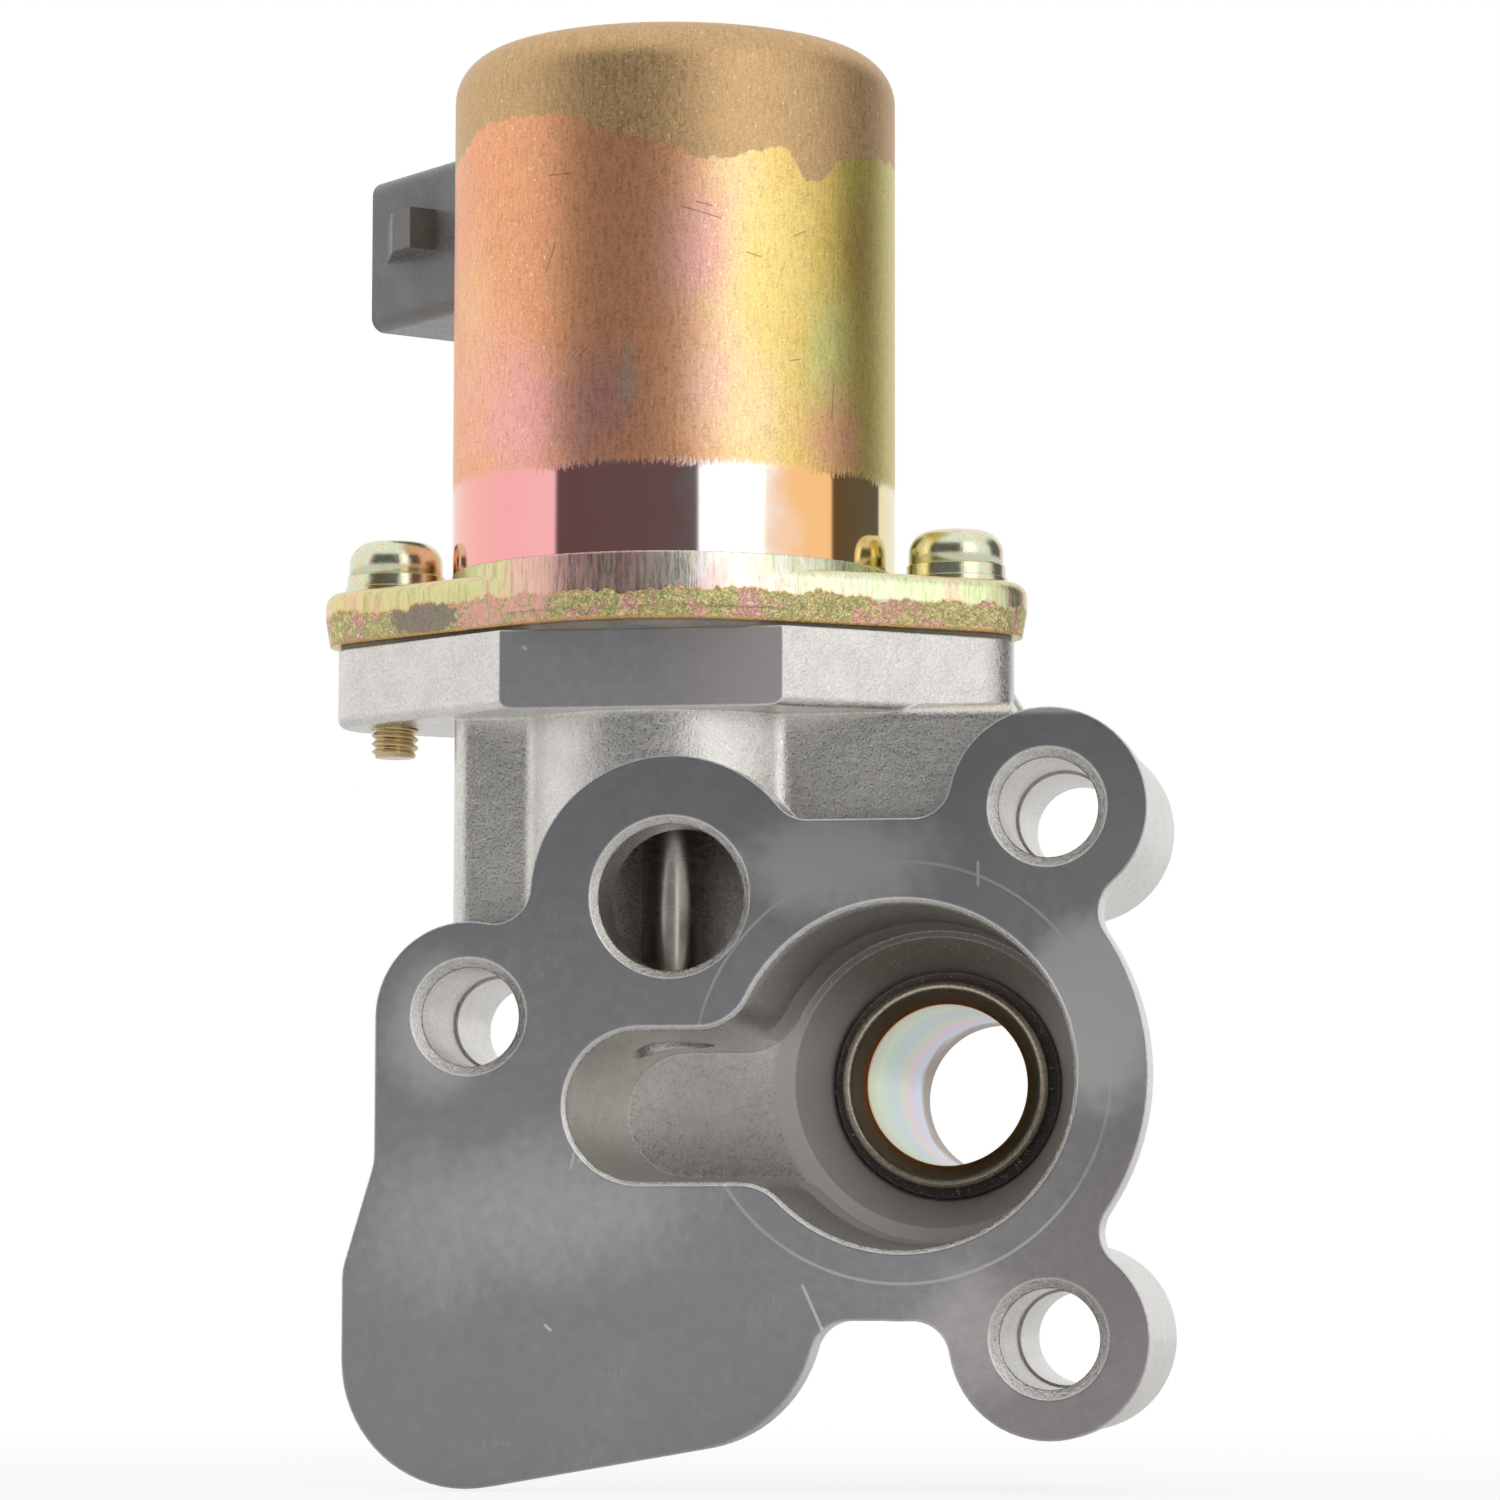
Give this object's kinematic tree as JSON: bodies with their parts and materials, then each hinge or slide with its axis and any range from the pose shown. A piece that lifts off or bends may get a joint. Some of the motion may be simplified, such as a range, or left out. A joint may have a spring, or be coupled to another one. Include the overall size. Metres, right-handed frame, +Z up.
{
  "type": "idle air control valve",
  "caption": "Solenoid air valve: a plated solenoid can on a flange, bolted to a die-cast housing with a key-shaped air pocket, a round port and a steel hose tube.",
  "frame": {"origin": "on the machined mounting face, under the valve's axis and level with the lower right bolt hole", "axes": "+X to the right as seen facing the mounting face, +Y into the housing, +Z up along the valve's axis"},
  "size_m": [0.0728, 0.0709, 0.1203],
  "materials": {
    "cast_aluminium": "as cast, with milled faces",
    "plated_tube": "pale iridescent zinc plating",
    "gasket_paper": "dark fibre sheet",
    "plated_flange": "iridescent zinc plating over a blanked edge",
    "plated_can": "bronze-yellow iridescent zinc plating",
    "plated_screw": "yellow-green iridescent zinc plating",
    "valve_steel": "ground steel",
    "valve_brass": "turned brass",
    "soft_iron": "turned soft iron",
    "bobbin_plastic": "natural moulded plastic",
    "copper_wire": "enamelled copper wire",
    "seal_rubber": "black rubber",
    "connector_plastic": "dark grey moulded plastic",
    "terminal_tin": "tinned"
  },
  "bodies": {
    "root": {"valve_housing": "cast_aluminium", "inlet_tube": "plated_tube", "flange_gasket": "gasket_paper", "mounting_flange": "plated_flange", "solenoid_can": "plated_can", "flange_screw_left": "plated_screw", "flange_screw_right": "plated_screw", "spring_washer_left": "plated_screw", "spring_washer_right": "plated_screw", "plain_washer_left": "plated_screw", "plain_washer_right": "plated_screw", "return_spring": "valve_steel", "rod_bush": "valve_brass", "guide_sleeve": "valve_brass", "fixed_core": "soft_iron", "coil_bobbin": "bobbin_plastic", "coil_winding": "copper_wire", "seal_ring": "seal_rubber", "socket_seal": "seal_rubber", "connector_housing": "connector_plastic", "terminal_left": "terminal_tin", "terminal_right": "terminal_tin"},
    "valve": {"plunger": "soft_iron", "valve_rod": "valve_steel", "valve_head": "valve_brass", "retaining_clip": "valve_steel"}
  },
  "joints": [
    {"name": "valve_lift", "type": "slide", "parent": "root", "child": "valve", "axis": [0, 0, 1], "range_m": [0, 0.003], "stiffness_N_per_m": 400, "springref_m": -0.002, "deforming": ["return_spring"]}
  ]
}
